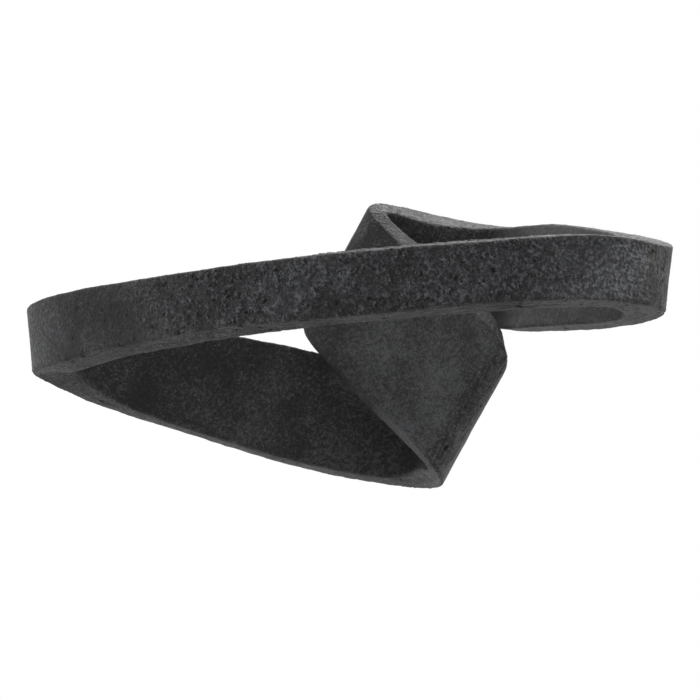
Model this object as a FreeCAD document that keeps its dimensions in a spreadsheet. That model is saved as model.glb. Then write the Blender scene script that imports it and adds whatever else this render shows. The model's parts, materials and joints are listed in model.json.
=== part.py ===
import FreeCAD, Part
import math
import os

# Cast metal knot: one flat band that closes on itself after two bends and two folds.
# The knot is the same again after half a turn about the Y axis, so only half of it is written.
# Millimetres. The knot is laid out upright first, then leaned onto the three points it stands on.

os.makedirs("parts", exist_ok=True)
doc = FreeCAD.newDocument("KnotSculpture")
vec = FreeCAD.Vector

# Driving sizes, one cell each
sizes = doc.addObject("Spreadsheet::Sheet", "Sizes")
CELLS = [
    ("half_span", 223.0, "centre to the outermost point of an end bend's control line"),
    ("depth", 242.0, "front face to the back of the arms' control line"),
    ("climb", 60.0, "rise of the folds' control points above the middle"),
    ("half_face", 40.0, "unit for half the band's face height"),
    ("wall", 14.0, "band thickness on the straight runs"),
    ("edge_bevel", 1.0, "bevel of the band's four long edges"),
    ("weld_width", 6.0, "width of a dressed weld bead"),
    ("weld_depth", 3.0, "depth of the weld groove"),
    ("groove_reach", 3.0, "how far a groove cutter stands out of the band"),
    ("pin_diameter", 6.0, "locating pin"),
    ("pin_length", 24.0, "locating pin, half of it in each casting"),
    ("pin_clearance", 0.1, "gap round a pin"),
    ("pin_end_gap", 1.0, "gap past each end of a pin"),
    ("rest_flat", 0.8, "depth of the flats ground where the knot stands"),
    ("overrun", 5.0, "how far a cutter reaches past what it cuts"),
]
for row, (alias, value, note) in enumerate(CELLS, start=1):
    sizes.set("A%d" % row, note)
    sizes.set("B%d" % row, str(value))
    sizes.setAlias("B%d" % row, alias)
doc.recompute()


def size(alias):
    """The number in one cell of the sheet."""
    return float(sizes.get(alias))


# Control stations of the band's outer face, from the middle of the front bar, round the left end
# bend, along the left arm and the lower fold, to the middle of the cross band.
# place_shares: of half_span, depth and climb. ruling_shares: of half_face, from middle to top edge.
# wall_share: of wall. flare_shares: of wall, how much the inner face reaches past the outer at top and bottom.
STATIONS = [
    # name, place_shares, ruling_shares, wall_share, flare_shares
    ("front_mid", (0.0, 0.0, 0.0), (0.0, 0.0, 0.475), 0.93, (0.18, 0.18)),
    ("front_side", (-0.31, 0.025, 0.0), (-0.04, 0.025, 0.475), 0.86, (0.11, 0.29)),
    ("front_end", (-0.665, 0.07, -0.025), (-0.125, -0.1, 0.46), 1.0, (0.07, 0.57)),
    ("bend_front", (-0.875, 0.165, -0.05), (-0.06, -0.06, 0.525), 1.36, (-0.29, 0.5)),
    ("bend_tip", (-0.99, 0.33, 0.02), (0.0, -0.025, 0.44), 2.29, (0.07, -0.39)),
    ("bend_back", (-0.845, 0.48, -0.115), (0.225, 0.025, 0.64), 1.5, (0.21, -0.36)),
    ("arm_near", (-0.56, 0.625, -0.35), (0.5, 0.025, 0.725), 1.04, (0.21, -0.29)),
    ("arm_mid", (-0.33, 0.845, -0.635), (0.44, 0.025, 0.825), 1.04, (0.36, -0.39)),
    ("arm_far", (-0.105, 1.01, -0.9), (0.275, -0.1, 0.675), 1.07, (0.18, -0.36)),
    ("fold_back", (0.10, 0.865, -0.985), (0.36, 0.14, 0.775), 1.64, (0.18, -0.46)),
    ("fold_front", (0.28, 0.61, -0.965), (0.64, 0.04, 0.9), 1.14, (0.21, 0.18)),
    ("cross_mid", (0.0, 0.71, 0.0), (0.74, 0.0, 0.725), 0.96, (0.68, 0.68)),
]


def half_turn(point):
    """A point after half a turn about the Y axis."""
    return vec(-point.x, point.y, -point.z)


def station_cage():
    """Corners of the band at every control station, once round the whole knot."""
    half = []
    for name, place_shares, ruling_shares, wall_share, flare_shares in STATIONS:
        place = vec(place_shares[0] * size("half_span"), place_shares[1] * size("depth"),
                    place_shares[2] * size("climb"))
        ruling = vec(*ruling_shares) * size("half_face")
        flares = [share * size("wall") for share in flare_shares]
        half.append((place, ruling, wall_share * size("wall"), flares))
    other = []
    for place, ruling, wall, flares in reversed(half[1:-1]):
        other.append((half_turn(place), half_turn(ruling) * -1, wall, flares[::-1]))
    whole = half + other
    cage = []
    for k, (place, ruling, wall, flares) in enumerate(whole):
        ahead = whole[(k + 1) % len(whole)][0]
        behind = whole[k - 1][0]
        up = vec(ruling).normalize()
        inward = (ahead - behind).cross(ruling).normalize()
        outer_top = place + ruling
        outer_bottom = place - ruling
        inner_top = outer_top + inward * wall + up * flares[0]
        inner_bottom = outer_bottom + inward * wall - up * flares[1]
        cage.append([outer_bottom, outer_top, inner_top, inner_bottom])
    return cage


def inset_cage(cage, inset):
    """The same corners, each moved in from its two faces."""
    inner = []
    for outer_bottom, outer_top, inner_top, inner_bottom in cage:
        up = (outer_top - outer_bottom).normalize() * inset
        inward = ((inner_top + inner_bottom) - (outer_top + outer_bottom)).normalize() * inset
        inner.append([outer_bottom + inward + up, outer_top + inward - up,
                      inner_top - inward - up, inner_bottom - inward + up])
    return inner


def edge_rows(cage, bevel):
    """The two rows of control points along each bevelled long edge."""
    rows = []
    for c in range(4):
        before = [ring[c] + (ring[c - 1] - ring[c]).normalize() * bevel for ring in cage]
        after = [ring[c] + (ring[(c + 1) % 4] - ring[c]).normalize() * bevel for ring in cage]
        rows.append((before, after))
    return rows


def strip(left, right):
    """One closed strip along the band, ruled between two spline edges."""
    count = len(left)
    surface = Part.BSplineSurface()
    surface.buildFromPolesMultsKnots([left, right], [2, 2], [1] * (count + 1), [0.0, 1.0],
                                     [float(k) for k in range(count + 1)], False, True, 1, 3)
    return surface.toShape()


def band_solid(cage, bevel):
    """The closed band as one solid: four sides and four bevelled edges."""
    rows = edge_rows(cage, bevel)
    faces = []
    for c in range(4):
        before, after = rows[c]
        faces.append(strip(before, after))
        faces.append(strip(after, rows[(c + 1) % 4][0]))
    shell = Part.makeShell(faces)
    shell.sewShape()
    solid = Part.Solid(shell)
    if solid.Volume < 0:
        solid.reverse()
    return solid


# How the knot finds the plane it stands on: places tried in each station, turns to settle, and
# the shares of half_span and depth that tell the three touching stretches apart
EDGE_STEPS = 24
SETTLE_TURNS = 8
FRONT_SPLIT_SHARE = -0.2
FRONT_DEPTH_SHARE = 0.2
FOLD_DEPTH_SHARE = 0.6


def spline_point(points, at):
    """A point of the closed cubic spline over the stations, at a place counted in stations."""
    k = math.floor(at)
    f = at - k
    shares = ((1 - f) ** 3, 3 * f ** 3 - 6 * f ** 2 + 4, -3 * f ** 3 + 3 * f ** 2 + 3 * f + 1, f ** 3)
    total = vec(0, 0, 0)
    for step, share in enumerate(shares):
        total += points[(k - 1 + step) % len(points)] * (share / 6)
    return total


def lower_edge_points(cage, bevel):
    """Points along the band's lower long edges."""
    points = []
    for c in (0, 3):
        for edge in edge_rows(cage, bevel)[c]:
            points += [spline_point(edge, k / EDGE_STEPS) for k in range(len(edge) * EDGE_STEPS)]
    return points


def rest_rotation(points):
    """Turns the knot so that the plane it stands on is level.

    The plane touches the left and the middle of the front bar's lower edge and the low fold's corner.
    """
    split = FRONT_SPLIT_SHARE * size("half_span")
    front = [p for p in points if p.y < FRONT_DEPTH_SHARE * size("depth")]
    groups = [[p for p in front if p.x < split], [p for p in front if p.x >= split],
              [p for p in points if p.y > FOLD_DEPTH_SHARE * size("depth")]]
    up = vec(0, 0, 1)
    for turn in range(SETTLE_TURNS):
        left, middle, fold = [min(group, key=up.dot) for group in groups]
        up = (middle - left).cross(fold - left).normalize()
    return FreeCAD.Rotation(up, vec(0, 0, 1))


cage = station_cage()
band_shape = band_solid(cage, size("edge_bevel"))
core_shape = band_solid(inset_cage(cage, size("weld_depth")), size("edge_bevel"))

# Stand the knot on its three points, its box centred on the origin and its flats at zero
rest = FreeCAD.Placement(vec(0, 0, 0), rest_rotation(lower_edge_points(cage, size("edge_bevel"))))
leaned = band_shape.copy()
leaned.Placement = rest
box = leaned.optimalBoundingBox(False, False)
rest.Base = vec(-box.Center.x, -box.Center.y, -box.ZMin - size("rest_flat"))


def feature(label, shape):
    """A solid worked out from the sheet's sizes, stood in the rest position."""
    made = doc.addObject("Part::Feature", label)
    made.Shape = shape
    made.Placement = rest
    return made


band = feature("band", band_shape)
core = feature("core", core_shape)


# Joints between the castings: a locating pin on the middle line and a weld groove filled flush.
# Each place is a share of the stations round the band, and the second half mirrors the first.
FRONT_JOINT_SHARE = 0.248
CROSS_JOINT_SHARE = 0.332
JOINTS = [
    ("front_left", FRONT_JOINT_SHARE * len(cage)),
    ("cross_left", CROSS_JOINT_SHARE * len(cage)),
    ("cross_right", (1 - CROSS_JOINT_SHARE) * len(cage)),
    ("front_right", (1 - FRONT_JOINT_SHARE) * len(cage)),
]
AHEAD_SHARE = 0.01


def corners_at(at):
    """The band's four corners at a place along it."""
    return [spline_point([ring[c] for ring in cage], at) for c in range(4)]


def middle_at(at):
    """The middle of the band's section at a place along it."""
    return sum(corners_at(at), vec(0, 0, 0)) / 4


def section(at):
    """The middle of the band's section, its three directions, and a cutter's reach across and up."""
    middle = middle_at(at)
    corners = corners_at(at)
    along = (middle_at(at + AHEAD_SHARE) - middle).normalize()
    across = (corners[1] - corners[0]).cross(along).normalize()
    up = along.cross(across)
    reach_across, reach_up = [
        max(abs((corner - middle).dot(axis)) for corner in corners) + size("groove_reach")
        for axis in (across, up)
    ]
    return middle, along, across, up, reach_across, reach_up


def split_face(at):
    """A flat face across the band, a little larger than its section."""
    middle, along, across, up, reach_across, reach_up = section(at)
    side = across * reach_across
    rise = up * reach_up
    ring = [middle - side - rise, middle + side - rise, middle + side + rise, middle - side + rise]
    face = Part.Face(Part.makePolygon(ring + ring[:1]))
    face.Placement = rest
    return face


def placed(origin, x_axis, y_axis, z_axis):
    """Where a primitive goes so that its own axes lie along three directions of the band."""
    return rest.multiply(FreeCAD.Placement(origin, FreeCAD.Rotation(x_axis, y_axis, z_axis, "ZXY")))


def groove_ring(label, at):
    """What fills the weld groove: a slab across the band with the band's core left out of it."""
    middle, along, across, up, reach_across, reach_up = section(at)
    slab = doc.addObject("Part::Box", label + "_slab")
    slab.setExpression("Length", "Sizes.weld_width")
    slab.Width = 2 * reach_across
    slab.Height = 2 * reach_up
    corner = middle - along * (size("weld_width") / 2) - across * reach_across - up * reach_up
    slab.Placement = placed(corner, along, across, up)
    ring = doc.addObject("Part::Cut", label + "_groove")
    ring.Base = slab
    ring.Tool = core
    return ring


def pin_at(label, at, radius, length):
    """A round pin along the band across a joint, or the hole for it."""
    middle, along, across, up, reach_across, reach_up = section(at)
    pin = doc.addObject("Part::Cylinder", label)
    pin.setExpression("Radius", radius)
    pin.setExpression("Height", length)
    doc.recompute()
    pin.Placement = placed(middle - along * (pin.Height.Value / 2), across, up, along)
    return pin


# Weld grooves, pins and pin holes
rings = {}
holes = {}
pins = []
for name, at in JOINTS:
    rings[name] = groove_ring(name, at)
    holes[name] = pin_at(name + "_hole", at, "Sizes.pin_diameter / 2 + Sizes.pin_clearance",
                         "Sizes.pin_length + 2 * Sizes.pin_end_gap")
    pins.append(pin_at(name + "_pin", at, "Sizes.pin_diameter / 2", "Sizes.pin_length"))

# Flats ground where the knot stands
ground = doc.addObject("Part::Box", "ground")
ground.setExpression("Length", "2 * (Sizes.half_span + Sizes.overrun)")
ground.setExpression("Width", "2 * (Sizes.depth + Sizes.overrun)")
ground.setExpression("Height", "Sizes.rest_flat + Sizes.overrun")
doc.recompute()
ground.Placement.Base = vec(-ground.Length.Value / 2, -ground.Width.Value / 2, -ground.Height.Value)

# The four castings, parted at the joints: name, share of the way round inside it, its two joints
ARM_SHARE = (FRONT_JOINT_SHARE + CROSS_JOINT_SHARE) / 2
CASTINGS = [
    ("front_bow", 0, ("front_left", "front_right")),
    ("left_arm", ARM_SHARE, ("front_left", "cross_left")),
    ("cross_band", 0.5, ("cross_left", "cross_right")),
    ("right_arm", 1 - ARM_SHARE, ("cross_right", "front_right")),
]
parted, history = band.Shape.generalFuse([split_face(at) for name, at in JOINTS])
sub_parts = []
for name, inside_share, ends in CASTINGS:
    inside = rest.multVec(middle_at(inside_share * len(cage)))
    blank = doc.addObject("Part::Feature", name + "_blank")
    blank.Shape = [solid for solid in parted.Solids if solid.isInside(inside, 0, False)][0]
    cuts = doc.addObject("Part::MultiFuse", name + "_cuts")
    cuts.Shapes = [ground] + [rings[end] for end in ends] + [holes[end] for end in ends]
    casting = doc.addObject("Part::Cut", name)
    casting.Base = blank
    casting.Tool = cuts
    sub_parts.append(casting)

# Weld beads, dressed flush with the band
for name, at in JOINTS:
    bead = doc.addObject("Part::Common", "weld_" + name)
    bead.Base = band
    bead.Tool = rings[name]
    sub_parts.append(bead)

# The locating pins, one group of like pins
pin_group = doc.addObject("Part::Compound", "locating_pins")
pin_group.Links = pins
sub_parts.append(pin_group)

for made in sub_parts:
    made.Label = made.Name
doc.recompute()
for made in doc.Objects:
    if "Invalid" in made.State or "Error" in made.State:
        raise RuntimeError("%s did not build: %s" % (made.Name, made.State))
for made in sub_parts:
    if made.Shape.isNull() or not made.Shape.isValid():
        raise RuntimeError("%s has no valid shape" % made.Label)
for made in sub_parts:
    made.Shape.exportStep("parts/%s.step" % made.Label)
    print(made.Label, len(made.Shape.Solids), "solids", round(made.Shape.Volume), "cubic mm")
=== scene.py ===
# %% [markdown]
# A metal knot, cast in sections and welded into one closed band, seen from below.
# The frame holds the castings, welds and pins at their real size. This lesson dresses them: one
# rough, hand-worked skin over all the castings and welds, and a dark patina.

# %% Load the frame
import json
import math
import bpy
import numpy as np
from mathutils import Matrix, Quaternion, Vector, noise
from mathutils.bvhtree import BVHTree
from mathutils.kdtree import KDTree

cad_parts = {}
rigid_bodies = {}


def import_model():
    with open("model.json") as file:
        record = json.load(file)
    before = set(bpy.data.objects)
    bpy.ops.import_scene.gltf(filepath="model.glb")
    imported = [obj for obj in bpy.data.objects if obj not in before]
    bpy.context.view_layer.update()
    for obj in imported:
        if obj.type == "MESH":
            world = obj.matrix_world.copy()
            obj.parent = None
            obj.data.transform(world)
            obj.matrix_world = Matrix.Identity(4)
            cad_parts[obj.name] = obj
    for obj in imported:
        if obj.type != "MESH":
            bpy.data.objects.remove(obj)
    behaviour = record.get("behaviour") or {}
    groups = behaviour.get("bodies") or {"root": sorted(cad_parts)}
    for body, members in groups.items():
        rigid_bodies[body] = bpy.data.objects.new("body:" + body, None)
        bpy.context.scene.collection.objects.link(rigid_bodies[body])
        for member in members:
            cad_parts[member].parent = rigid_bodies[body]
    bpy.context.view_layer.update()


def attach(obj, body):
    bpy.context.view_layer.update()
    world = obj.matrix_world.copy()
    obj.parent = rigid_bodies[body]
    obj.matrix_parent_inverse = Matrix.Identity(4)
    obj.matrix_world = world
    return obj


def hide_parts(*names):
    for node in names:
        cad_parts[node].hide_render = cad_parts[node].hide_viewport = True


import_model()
MM = 0.001

# %% [markdown]
# The photograph looks up at the knot from its right, through a long lens, and a little tilted.
# A camera is easiest to place by the point that it looks at, its distance and three angles.

# %% Camera
LOOK_AT = Vector((0.0344, -0.0844, -0.0044))
CAMERA_DISTANCE = 2.4
CAMERA_AZIMUTH = math.radians(31.41)
CAMERA_ELEVATION = math.radians(-29.62)
CAMERA_ROLL = math.radians(12.94)
FRAME_PIXELS = 700
FOCAL_PIXELS = 4110
SENSOR_MM = 36
VIEW_LIMIT = 100


def make_camera():
    """The photograph's camera."""
    back = Vector((math.sin(CAMERA_AZIMUTH) * math.cos(CAMERA_ELEVATION),
                   -math.cos(CAMERA_AZIMUTH) * math.cos(CAMERA_ELEVATION),
                   math.sin(CAMERA_ELEVATION)))
    data = bpy.data.cameras.new("camera")
    data.sensor_width = SENSOR_MM
    data.lens = SENSOR_MM * FOCAL_PIXELS / FRAME_PIXELS
    data.clip_end = VIEW_LIMIT
    camera = bpy.data.objects.new("camera", data)
    bpy.context.collection.objects.link(camera)
    camera.location = LOOK_AT + back * CAMERA_DISTANCE
    camera.rotation_mode = "QUATERNION"
    aim = (-back).to_track_quat("-Z", "Y")
    camera.rotation_quaternion = aim @ Quaternion((0, 0, 1), CAMERA_ROLL)
    bpy.context.scene.camera = camera
    print("lens", round(data.lens, 1), "mm")


make_camera()

# %% [markdown]
# The skin of the real knot runs on over its welds without a break, because they are dressed flush
# before the surface is worked. So the castings and beads are copied, joined and remeshed as one
# even skin. Real lumps and pits are then pushed into it, and it is parted again at the joints.

# %% Join copies of the castings and beads
CASTINGS = ["front_bow", "left_arm", "cross_band", "right_arm"]
BEADS = ["weld_front_left", "weld_cross_left", "weld_cross_right", "weld_front_right"]
SKIN_VOXEL = 0.8 * MM
MERGE_GAP = 0.001 * MM
SMOOTH_FACTOR, SMOOTH_TURNS = 0.5, 2


def only(obj):
    """Makes one object the only selected and active one."""
    bpy.ops.object.select_all(action="DESELECT")
    obj.select_set(True)
    bpy.context.view_layer.objects.active = obj


def surface_tree(mesh):
    """A search tree over a mesh's faces."""
    return BVHTree.FromPolygons([v.co for v in mesh.vertices], [p.vertices for p in mesh.polygons])


def copy_of(node):
    """A copy of a node's mesh with its loose triangles merged."""
    source = bpy.data.objects[node]
    twin = bpy.data.objects.new(node + "_copy", source.data.copy())
    bpy.context.collection.objects.link(twin)
    twin.data.materials.clear()
    only(twin)
    bpy.ops.object.mode_set(mode="EDIT")
    bpy.ops.mesh.select_all(action="SELECT")
    bpy.ops.mesh.remove_doubles(threshold=MERGE_GAP)
    bpy.ops.object.mode_set(mode="OBJECT")
    return twin


def apply_modifier(obj, kind, **settings):
    """Adds a modifier, sets it and applies it."""
    modifier = obj.modifiers.new(kind.lower(), kind)
    for key, value in settings.items():
        setattr(modifier, key, value)
    only(obj)
    bpy.ops.object.modifier_apply(modifier=modifier.name)


copies = [copy_of(node) for node in CASTINGS + BEADS]
bpy.ops.object.select_all(action="DESELECT")
for twin in copies:
    twin.select_set(True)
bpy.context.view_layer.objects.active = copies[0]
bpy.ops.object.join()
skin = copies[0]
skin.name = "skin"
apply_modifier(skin, "REMESH", mode="VOXEL", voxel_size=SKIN_VOXEL)
apply_modifier(skin, "SMOOTH", factor=SMOOTH_FACTOR, iterations=SMOOTH_TURNS)
print("skin", len(skin.data.polygons), "faces")

# %% [markdown]
# The band's sides are worked in different ways: the rims are torn lengthwise, the front bar's
# outer face is covered in short strokes, its two ends are brushed upright, and the rest is smooth.
# So each point of the skin learns which side it is on and which way the band runs there. A ray
# shot inwards tells a rim, where the metal is deep, from a face, where it is only a wall thick.

# %% Find the rims and the run of the band
WALL_LIMIT = 24 * MM
START_INSIDE = 0.5 * MM
RIM_FADE = 2.2 * MM
LOOP_MIDDLE = Vector((0, -20, 50)) * MM
OUTWARD_GAIN = 3
FRONT_EDGE, FRONT_FADE = -20 * MM, 20 * MM
END_START, END_FULL = 150 * MM, 195 * MM
SMOOTH_UNTIL, SMOOTH_FADE, SMOOTH_SHARE = -110 * MM, 50 * MM, 0.35


def clamp(value):
    """A value held between 0 and 1."""
    return min(max(value, 0.0), 1.0)


def points_of(faces):
    """A search tree over the middles of some faces."""
    tree = KDTree(len(faces))
    for k, face in enumerate(faces):
        tree.insert(face.center, k)
    tree.balance()
    return tree


mesh = skin.data
skin_tree = surface_tree(mesh)
rim_faces, wall_faces = [], []
for face in mesh.polygons:
    inside = face.center - face.normal * START_INSIDE
    depth = skin_tree.ray_cast(inside, -face.normal, WALL_LIMIT)[3]
    (rim_faces if depth is None else wall_faces).append(face)
rim_points = points_of(rim_faces)
wall_points = points_of(wall_faces)

along, upward, rims, worked, ends = [], [], [], [], []
for vertex in mesh.vertices:
    point, normal = vertex.co, vertex.normal
    rim_index, rim_distance = rim_points.find(point)[1:]
    wall_index = wall_points.find(point)[1]
    ruling = rim_faces[rim_index].normal
    rim = clamp(1 - rim_distance / RIM_FADE)
    outward = clamp(normal.dot((point - LOOP_MIDDLE).normalized()) * OUTWARD_GAIN)
    front = clamp((FRONT_EDGE - point.y) / FRONT_FADE)
    end = clamp((abs(point.x) - END_START) / (END_FULL - END_START)) * outward
    along.append(wall_faces[wall_index].normal.cross(ruling).normalized())
    upward.append(ruling)
    rims.append(rim)
    middle = clamp((point.x - SMOOTH_UNTIL) / SMOOTH_FADE)
    middle = SMOOTH_SHARE + (1 - SMOOTH_SHARE) * middle
    worked.append(outward * front * middle * (1 - end) * (1 - rim))
    ends.append(end * (1 - rim))
print("rim faces", len(rim_faces), "wall faces", len(wall_faces))

# %% [markdown]
# A cast and hand-worked surface has relief at several scales: slow waves from the modelling, low
# lumps, then strokes and small pits. The waves and lumps are cloud textures that move the skin
# along its normals.

# %% Waves and lumps
RELIEF = [
    # name, size, strength, depth, contrast
    ("waves", 26 * MM, 0.9 * MM, 1, 1.0),
    ("lumps", 7 * MM, 0.35 * MM, 3, 1.2),
]


def relieve(obj, name, size, strength, depth, contrast):
    """Moves the surface in and out by a cloud texture."""
    texture = bpy.data.textures.new(name, "CLOUDS")
    texture.noise_scale = size
    texture.noise_depth = depth
    texture.noise_basis = "IMPROVED_PERLIN"
    texture.contrast = contrast
    apply_modifier(obj, "DISPLACE", texture=texture, texture_coords="LOCAL", direction="NORMAL",
                   mid_level=0.5, strength=strength)


for name, size, strength, depth, contrast in RELIEF:
    relieve(skin, name, size, strength, depth, contrast)

# %% [markdown]
# Streaks are noise smeared along the band on the rims, and across it on the two ends. The front's
# strokes are thin and raised: noise crosses zero along such lines, and a coarser noise breaks
# them up. Each point keeps how high it stands, and its colour follows that: the patina is dark in
# the pits, the raised streaks and strokes get a painted highlight, their grooves a painted shade,
# and the whole worked front a painted shade.

# %% Streaks, strokes and pits
STREAK_SIZE, STREAK_STEPS, STREAK_GAIN = 1.5 * MM, (-2, -1, 0, 1, 2), 2.4
STROKE_WIDTH, STROKE_LENGTH, STROKE_LEAN, STROKE_BREAK = 1.7 * MM, 4.4 * MM, 0.5, 5 * MM
STROKE_SHARPNESS, BREAK_SHARPNESS = 3, 3
PIT_SIZE, PIT_LEVEL, PIT_PLAIN_SHARE = 3.4 * MM, 0.5, 0.15
RIM_DEPTH, END_DEPTH, WORK_DEPTH, PIT_DEPTH = 0.45 * MM, 0.25 * MM, 0.85 * MM, 3 * MM
# Painted highlight and shade: streak ridges lighter and grooves darker, strokes lighter, the
# worked front darker as a whole. The pits are darker by patina.
RIM_STREAK_SHADING, END_STREAK_SHADING, STROKE_HIGHLIGHT, WORK_SHADE, PIT_TONE = 0.65, 1, 0.65, 0.175, 4


def streak(point, direction):
    """Noise averaged along a direction: about -1 in a groove and 1 on a ridge."""
    total = sum(noise.noise(point / STREAK_SIZE + direction * step) for step in STREAK_STEPS)
    return total / len(STREAK_STEPS) * STREAK_GAIN


def stroke(point):
    """1 on a short, thin, leaning line and 0 off it."""
    place = Vector(((point.x + point.z * STROKE_LEAN) / STROKE_WIDTH, point.y / STROKE_WIDTH,
                    point.z / STROKE_LENGTH))
    line = clamp(1 - abs(noise.noise(place)) * STROKE_SHARPNESS)
    return line * clamp(0.5 + noise.noise(point / STROKE_BREAK) * BREAK_SHARPNESS)


mesh = skin.data
normals = [vertex.normal.copy() for vertex in mesh.vertices]
moved, heights = [], []
for k, vertex in enumerate(mesh.vertices):
    point = vertex.co
    rim = streak(point, along[k]) * rims[k] if rims[k] > 0 else 0
    end = streak(point, upward[k]) * ends[k] if ends[k] > 0 else 0
    work = stroke(point) * worked[k] if worked[k] > 0 else 0
    pit = max(noise.noise(point / PIT_SIZE) - PIT_LEVEL, 0)
    pit *= PIT_PLAIN_SHARE + worked[k] + rims[k]
    push = rim * RIM_DEPTH + end * END_DEPTH + work * WORK_DEPTH - pit * PIT_DEPTH
    moved.extend(point + normals[k] * push)
    # Painted highlight and shade that follow the relief; the pits are dark by patina.
    tone = rim * RIM_STREAK_SHADING + end * END_STREAK_SHADING + work * STROKE_HIGHLIGHT
    tone -= worked[k] * WORK_SHADE + pit * PIT_TONE
    heights.append(clamp(0.5 + tone))
mesh.vertices.foreach_set("co", moved)
mesh.update()
print("relief box", [round(v, 4) for v in skin.dimensions])


def store(name, values):
    """Keeps one number for each point of the skin, for the material to read."""
    attribute = mesh.attributes.new(name, "FLOAT", "POINT")
    attribute.data.foreach_set("value", values)


store("height", heights)
store("rim", rims)
store("worked", worked)
store("end", ends)

# %% [markdown]
# An even skin is finer than its smooth parts need. Edges collapse where that moves the surface
# least, so the worked parts keep their detail and no piece grows past what others can load.

# %% Thin the skin
KEPT_SHARE = 0.47
apply_modifier(skin, "DECIMATE", ratio=KEPT_SHARE)
print("thinned skin", len(skin.data.polygons), "faces")

# %% [markdown]
# The floor trims the relief, because the knot stands on ground flats.

# %% Keep the skin above the floor
FLOOR_REST = 0.02 * MM
for vertex in skin.data.vertices:
    if vertex.co.z < FLOOR_REST:
        vertex.co.z = FLOOR_REST

# %% [markdown]
# Each casting and bead has its own piece of the skin again. A bead is a short ring round the band,
# so its flat sides give the two planes of its joint. The skin is cut along both planes near the
# bead, and the parted edges are flat loops that close with one flat face each.

# %% Cut the skin at the joints
NODES = CASTINGS + BEADS
CUT_REACH = 4 * MM
CUT_SNAP = 0.1 * MM
SAME_WAY = 0.97


def joint_of(node):
    """A bead's middle, its direction along the band and half its width."""
    mesh = bpy.data.objects[node].data
    points = np.array([v.co for v in mesh.vertices])
    spread = np.linalg.svd(points - points.mean(axis=0), full_matrices=False)[2]
    thin = Vector(spread[2])
    along = Vector()
    for face in mesh.polygons:
        facing = face.normal.dot(thin)
        if abs(facing) > SAME_WAY:
            along += face.normal * math.copysign(face.area, facing)
    along.normalize()
    places = points @ np.array(along)
    middle = Vector(points.mean(axis=0))
    middle += along * ((places.max() + places.min()) / 2 - middle.dot(along))
    return middle, along, (places.max() - places.min()) / 2


joints = {node: joint_of(node) for node in BEADS}
print("bead widths in mm", [round(2 * half / MM, 2) for middle, along, half in joints.values()])
for node in NODES:
    skin.data.materials.append(bpy.data.materials.new("part_of_" + node))
for node in BEADS:
    tree = surface_tree(bpy.data.objects[node].data)
    for face in skin.data.polygons:
        if tree.find_nearest(face.center, CUT_REACH)[0] is not None:
            face.material_index = NODES.index(node)
only(skin)
bpy.ops.object.mode_set(mode="EDIT")
bpy.ops.mesh.select_mode(type="FACE")
for node, (middle, along, half) in joints.items():
    skin.active_material_index = NODES.index(node)
    for side in (-half, half):
        bpy.ops.mesh.select_all(action="DESELECT")
        bpy.ops.object.material_slot_select()
        bpy.ops.mesh.bisect(plane_co=middle + along * side, plane_no=along, threshold=CUT_SNAP)
bpy.ops.object.mode_set(mode="OBJECT")

# %% Part the skin into its pieces
casting_trees = [surface_tree(bpy.data.objects[node].data) for node in CASTINGS]
for face in skin.data.polygons:
    if face.material_index >= len(CASTINGS):
        middle, along, half = joints[NODES[face.material_index]]
        if abs((face.center - middle).dot(along)) < half:
            continue
    gaps = [tree.find_nearest(face.center)[3] for tree in casting_trees]
    face.material_index = gaps.index(min(gaps))
only(skin)
bpy.ops.object.mode_set(mode="EDIT")
bpy.ops.mesh.separate(type="MATERIAL")
bpy.ops.object.mode_set(mode="OBJECT")
pieces = {}
for obj in bpy.data.objects:
    if obj.name.startswith("skin"):
        pieces[obj.data.materials[0].name.removeprefix("part_of_")] = obj
for node, obj in pieces.items():
    obj.name = node + "_skin"
    obj.data.name = node + "_skin"
print({node: len(obj.data.polygons) for node, obj in pieces.items()})

# %% Close the parted edges
SHARP_ANGLE = math.radians(65)

for obj in pieces.values():
    only(obj)
    bpy.ops.object.mode_set(mode="EDIT")
    bpy.ops.mesh.select_all(action="SELECT")
    bpy.ops.mesh.fill_holes(sides=0)
    bpy.ops.mesh.quads_convert_to_tris()
    bpy.ops.mesh.select_all(action="SELECT")
    bpy.ops.mesh.normals_make_consistent(inside=False)
    bpy.ops.object.mode_set(mode="OBJECT")
    bpy.ops.object.shade_smooth_by_angle(angle=SHARP_ANGLE)

# %% [markdown]
# The patina is near black graphite on metal: dark grey, and darkest in the hollows. Painted light
# lies over it: a painted highlight on what stands out, a painted shade on the worked front,
# painted light near the low fold for light from below on the right, rims painted lighter and
# warmer for bounced light, and ends painted lighter for side light. Its sheen is dull.

# %% Patina material
# Painted light: the plain patina is lighter near the low fold, standing in for light from below on
# the right.
LOW_FOLD = Vector((30, 50, 30)) * MM
FOLD_LIGHT_REACH, FOLD_LIGHT_FULL = 165 * MM, 60 * MM
# Clouds: features to the metre, finer layers and their strength.
BLOTCH_CLOUDS, FLECK_CLOUDS = (30, 5, 0.65), (420, 3, 0.7)
GRAIN_CLOUDS, FOLD_CLOUDS = (1000, 3, 0.8), (300, 2, 0.6)
# Tones: a level from 0 to 1 and the colour there.
PLAIN_TONES = [(0.25, (0.008, 0.008, 0.008)), (0.50, (0.022, 0.022, 0.023)),
               (0.75, (0.098, 0.100, 0.103))]
# Painted highlight: the light end of the worked front's tones brightens the raised strokes.
STROKE_TONES = [(0.22, (0.006, 0.006, 0.006)), (0.48, (0.023, 0.023, 0.025)),
                (0.80, (0.140, 0.143, 0.150))]
# Torn rims, painted lighter and warmer for the warm light bounced up onto them.
TORN_AND_BOUNCE_TONES = [(0.22, (0.008, 0.008, 0.007)), (0.50, (0.040, 0.039, 0.038)),
              (0.78, (0.150, 0.148, 0.145))]
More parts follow.
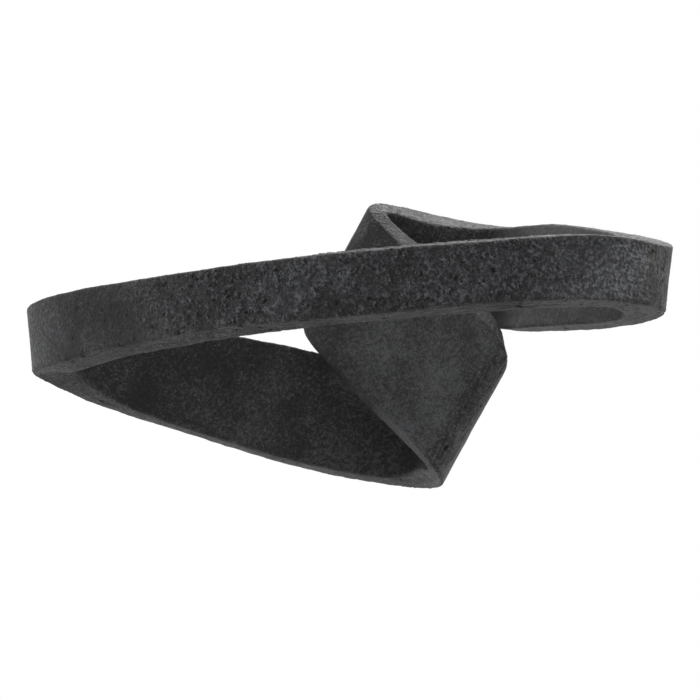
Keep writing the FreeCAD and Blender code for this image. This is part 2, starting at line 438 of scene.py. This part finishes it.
# Brushed ends, painted lighter for the side light that falls on them.
BRUSHED_AND_SIDE_LIT_TONES = [(0.22, (0.012, 0.012, 0.013)), (0.50, (0.048, 0.049, 0.052)),
                 (0.78, (0.170, 0.173, 0.180))]
ROUGH_TONES = [(0.2, (0.42,) * 3), (0.8, (0.64,) * 3)]
PATINA_METALLIC, PATINA_SPECULAR = 0.4, 0.25
BUMP_STRENGTH, BUMP_DEPTH = 1, 0.6 * MM
PIN_METALLIC, PIN_ROUGHNESS, PIN_GRAIN = 1, 0.3, 900
PIN_DARK, PIN_LIGHT = (0.42, 0.42, 0.44, 1), (0.58, 0.58, 0.6, 1)


def patina(name):
    """Dark patinated cast metal, worked by hand."""
    material = bpy.data.materials.new(name)
    material.use_nodes = True
    nodes = material.node_tree.nodes
    links = material.node_tree.links
    shader = nodes["Principled BSDF"]
    place = nodes.new("ShaderNodeTexCoord")

    def clouds(scale, detail, roughness):
        """A cloudy pattern."""
        texture = nodes.new("ShaderNodeTexNoise")
        texture.inputs["Scale"].default_value = scale
        texture.inputs["Detail"].default_value = detail
        texture.inputs["Roughness"].default_value = roughness
        links.new(place.outputs["Object"], texture.inputs["Vector"])
        return texture.outputs["Fac"]

    def ramp(value, stops):
        """A colour for each level of a value."""
        node = nodes.new("ShaderNodeValToRGB")
        elements = node.color_ramp.elements
        while len(elements) < len(stops):
            elements.new(0.5)
        for element, (position, colour) in zip(elements, stops):
            element.position = position
            element.color = (*colour, 1)
        links.new(value, node.inputs["Fac"])
        return node.outputs["Color"]

    def math_node(operation, a, b):
        """The result of one operation on two values or numbers."""
        node = nodes.new("ShaderNodeMath")
        node.operation = operation
        for socket, value in zip(node.inputs, (a, b)):
            if isinstance(value, (int, float)):
                socket.default_value = value
            else:
                links.new(value, socket)
        return node.outputs["Value"]

    def attribute(name):
        """A number that the skin keeps for each point."""
        node = nodes.new("ShaderNodeAttribute")
        node.attribute_name = name
        return node.outputs["Fac"]

    def stretch(value, low, high):
        """A value from 0 at low to 1 at high."""
        node = nodes.new("ShaderNodeMapRange")
        node.inputs["From Min"].default_value = low
        node.inputs["From Max"].default_value = high
        links.new(value, node.inputs["Value"])
        return node.outputs["Result"]

    def blend(factor, a, b):
        """One colour at 0 and the other at 1."""
        node = nodes.new("ShaderNodeMix")
        node.data_type = "RGBA"
        links.new(factor, node.inputs["Factor"])
        links.new(a, node.inputs[6])
        links.new(b, node.inputs[7])
        return node.outputs[2]

    def weighted(*terms):
        """The sum of some values, each times its weight."""
        total = None
        for value, weight in terms:
            part = math_node("MULTIPLY", value, weight)
            total = part if total is None else math_node("ADD", total, part)
        return total

    height, rim, work, end = (attribute(name) for name in ("height", "rim", "worked", "end"))
    blotches = stretch(clouds(*BLOTCH_CLOUDS), 0.3, 0.7)
    flecks = stretch(clouds(*FLECK_CLOUDS), 0.38, 0.62)
    grain = stretch(clouds(*GRAIN_CLOUDS), 0.38, 0.62)
    away = nodes.new("ShaderNodeVectorMath")
    away.operation = "DISTANCE"
    away.inputs[1].default_value = LOW_FOLD
    links.new(place.outputs["Object"], away.inputs[0])
    near_fold = stretch(away.outputs["Value"], FOLD_LIGHT_REACH, FOLD_LIGHT_FULL)

    centred = math_node("SUBTRACT", clouds(*FOLD_CLOUDS), 0.5)
    fold = math_node("ABSOLUTE", centred, 0)
    crinkle = math_node("MULTIPLY", stretch(fold, 0.12, 0), work)

    # Painted highlight and shade from the height, and a painted highlight along the crinkle lines
    # of the worked front. The clouds vary the tone at random.
    tone = weighted((height, 0.34), (blotches, 0.22), (flecks, 0.20), (grain, 0.20),
                    (crinkle, 0.10))
    # Painted light near the low fold, added to the plain patina's tone.
    fold_lit_tone = weighted((tone, 1), (near_fold, 0.11))
    plain = ramp(fold_lit_tone, PLAIN_TONES)
    strokes = ramp(tone, STROKE_TONES)
    torn_and_bounce = ramp(tone, TORN_AND_BOUNCE_TONES)
    brushed_and_side_lit = ramp(tone, BRUSHED_AND_SIDE_LIT_TONES)
    colour = blend(rim, blend(end, blend(work, plain, strokes), brushed_and_side_lit), torn_and_bounce)
    links.new(colour, shader.inputs["Base Color"])
    shader.inputs["Metallic"].default_value = PATINA_METALLIC
    shader.inputs["Specular IOR Level"].default_value = PATINA_SPECULAR
    rough = ramp(flecks, ROUGH_TONES)
    links.new(rough, shader.inputs["Roughness"])

    bump = nodes.new("ShaderNodeBump")
    bump.inputs["Strength"].default_value = BUMP_STRENGTH
    bump.inputs["Distance"].default_value = BUMP_DEPTH
    links.new(weighted((flecks, 0.5), (grain, 0.4), (crinkle, 1.1)), bump.inputs["Height"])
    links.new(bump.outputs["Normal"], shader.inputs["Normal"])
    return material


def pin_steel():
    """Bright ground steel with a faint grain."""
    material = bpy.data.materials.new("pin_steel")
    material.use_nodes = True
    nodes = material.node_tree.nodes
    links = material.node_tree.links
    shader = nodes["Principled BSDF"]
    shader.inputs["Metallic"].default_value = PIN_METALLIC
    place = nodes.new("ShaderNodeTexCoord")
    grain = nodes.new("ShaderNodeTexNoise")
    grain.inputs["Scale"].default_value = PIN_GRAIN
    links.new(place.outputs["Object"], grain.inputs["Vector"])
    shade = nodes.new("ShaderNodeValToRGB")
    shade.color_ramp.elements[0].color = PIN_DARK
    shade.color_ramp.elements[1].color = PIN_LIGHT
    links.new(grain.outputs["Fac"], shade.inputs["Fac"])
    links.new(shade.outputs["Color"], shader.inputs["Base Color"])
    shader.inputs["Roughness"].default_value = PIN_ROUGHNESS
    return material


cast_patina = patina("cast_patina")
for node, obj in pieces.items():
    obj.data.materials.clear()
    obj.data.materials.append(cast_patina)
    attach(obj, "root")
    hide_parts(node)
pins = bpy.data.objects["locating_pins"]
pins.data.materials.clear()
pins.data.materials.append(pin_steel())

# %% [markdown]
# The floor is pale and plain, and keeps the knot's shadow. The photograph looks up from below it,
# so its underside lets the view through, and it doesn't hide the light that fills the undersides.

# %% Floor
FLOOR_SIZE = 8.0
FLOOR_COLOUR, FLOOR_ROUGHNESS = (0.8, 0.8, 0.8, 1), 0.9


def make_floor():
    """A pale floor that can be seen from above only."""
    bpy.ops.object.select_all(action="DESELECT")
    bpy.ops.mesh.primitive_plane_add(size=FLOOR_SIZE, location=(0, 0, 0))
    floor = bpy.context.active_object
    floor.name = "floor"
    material = bpy.data.materials.new("pale_floor")
    material.use_nodes = True
    nodes = material.node_tree.nodes
    links = material.node_tree.links
    output = nodes["Material Output"]
    shader = nodes["Principled BSDF"]
    shader.inputs["Base Color"].default_value = FLOOR_COLOUR
    shader.inputs["Roughness"].default_value = FLOOR_ROUGHNESS
    clear = nodes.new("ShaderNodeBsdfTransparent")
    side = nodes.new("ShaderNodeNewGeometry")
    mix = nodes.new("ShaderNodeMixShader")
    links.new(side.outputs["Backfacing"], mix.inputs["Fac"])
    links.new(shader.outputs["BSDF"], mix.inputs[1])
    links.new(clear.outputs["BSDF"], mix.inputs[2])
    links.new(mix.outputs["Shader"], output.inputs["Surface"])
    floor.data.materials.append(material)
    floor.visible_diffuse = False
    floor.visible_glossy = False
    floor.visible_shadow = False


make_floor()

# %% [markdown]
# The light is soft and comes from above and from both sides, with a weak fill from below. White
# shows behind the knot, but lights it only at a plain level.

# %% World and lamps
WHITE = (1, 1, 1, 1)
WORLD_LEVEL = 0.5
KNOT_MIDDLE = Vector((0, 0, 80)) * MM
LAMPS = [
    # name, place, size in metres, power in watts
    ("top_softbox", (0.1, 0.2, 1.4), 1.2, 23),
    ("left_softbox", (-4.2, -1.7, 0.6), 2.5, 82),
    ("right_softbox", (4.2, -0.5, 0.45), 2.5, 72),
]


def make_world(level):
    """White to the camera and to reflections, a plain grey light to the rest."""
    world = bpy.data.worlds.new("studio")
    bpy.context.scene.world = world
    world.use_nodes = True
    nodes = world.node_tree.nodes
    links = world.node_tree.links
    nodes.clear()
    output = nodes.new("ShaderNodeOutputWorld")
    seen = nodes.new("ShaderNodeBackground")
    seen.inputs["Color"].default_value = WHITE
    seen.inputs["Strength"].default_value = 1
    light = nodes.new("ShaderNodeBackground")
    light.inputs["Color"].default_value = WHITE
    light.inputs["Strength"].default_value = level
    path = nodes.new("ShaderNodeLightPath")
    straight = nodes.new("ShaderNodeMath")
    straight.operation = "MAXIMUM"
    links.new(path.outputs["Is Camera Ray"], straight.inputs[0])
    links.new(path.outputs["Is Transmission Ray"], straight.inputs[1])
    either = nodes.new("ShaderNodeMath")
    either.operation = "MAXIMUM"
    links.new(straight.outputs["Value"], either.inputs[0])
    links.new(path.outputs["Is Glossy Ray"], either.inputs[1])
    mix = nodes.new("ShaderNodeMixShader")
    links.new(either.outputs["Value"], mix.inputs["Fac"])
    links.new(light.outputs["Background"], mix.inputs[1])
    links.new(seen.outputs["Background"], mix.inputs[2])
    links.new(mix.outputs["Shader"], output.inputs["Surface"])


def make_lamp(name, place, size, power):
    """A soft square lamp that shines at the middle of the knot."""
    data = bpy.data.lights.new(name, "AREA")
    data.size = size
    data.energy = power
    lamp = bpy.data.objects.new(name, data)
    bpy.context.collection.objects.link(lamp)
    lamp.location = place
    lamp.rotation_mode = "QUATERNION"
    lamp.rotation_quaternion = (KNOT_MIDDLE - lamp.location).to_track_quat("-Z", "Y")


make_world(WORLD_LEVEL)
for name, place, size, power in LAMPS:
    make_lamp(name, place, size, power)

bpy.context.scene.view_settings.view_transform = "Standard"
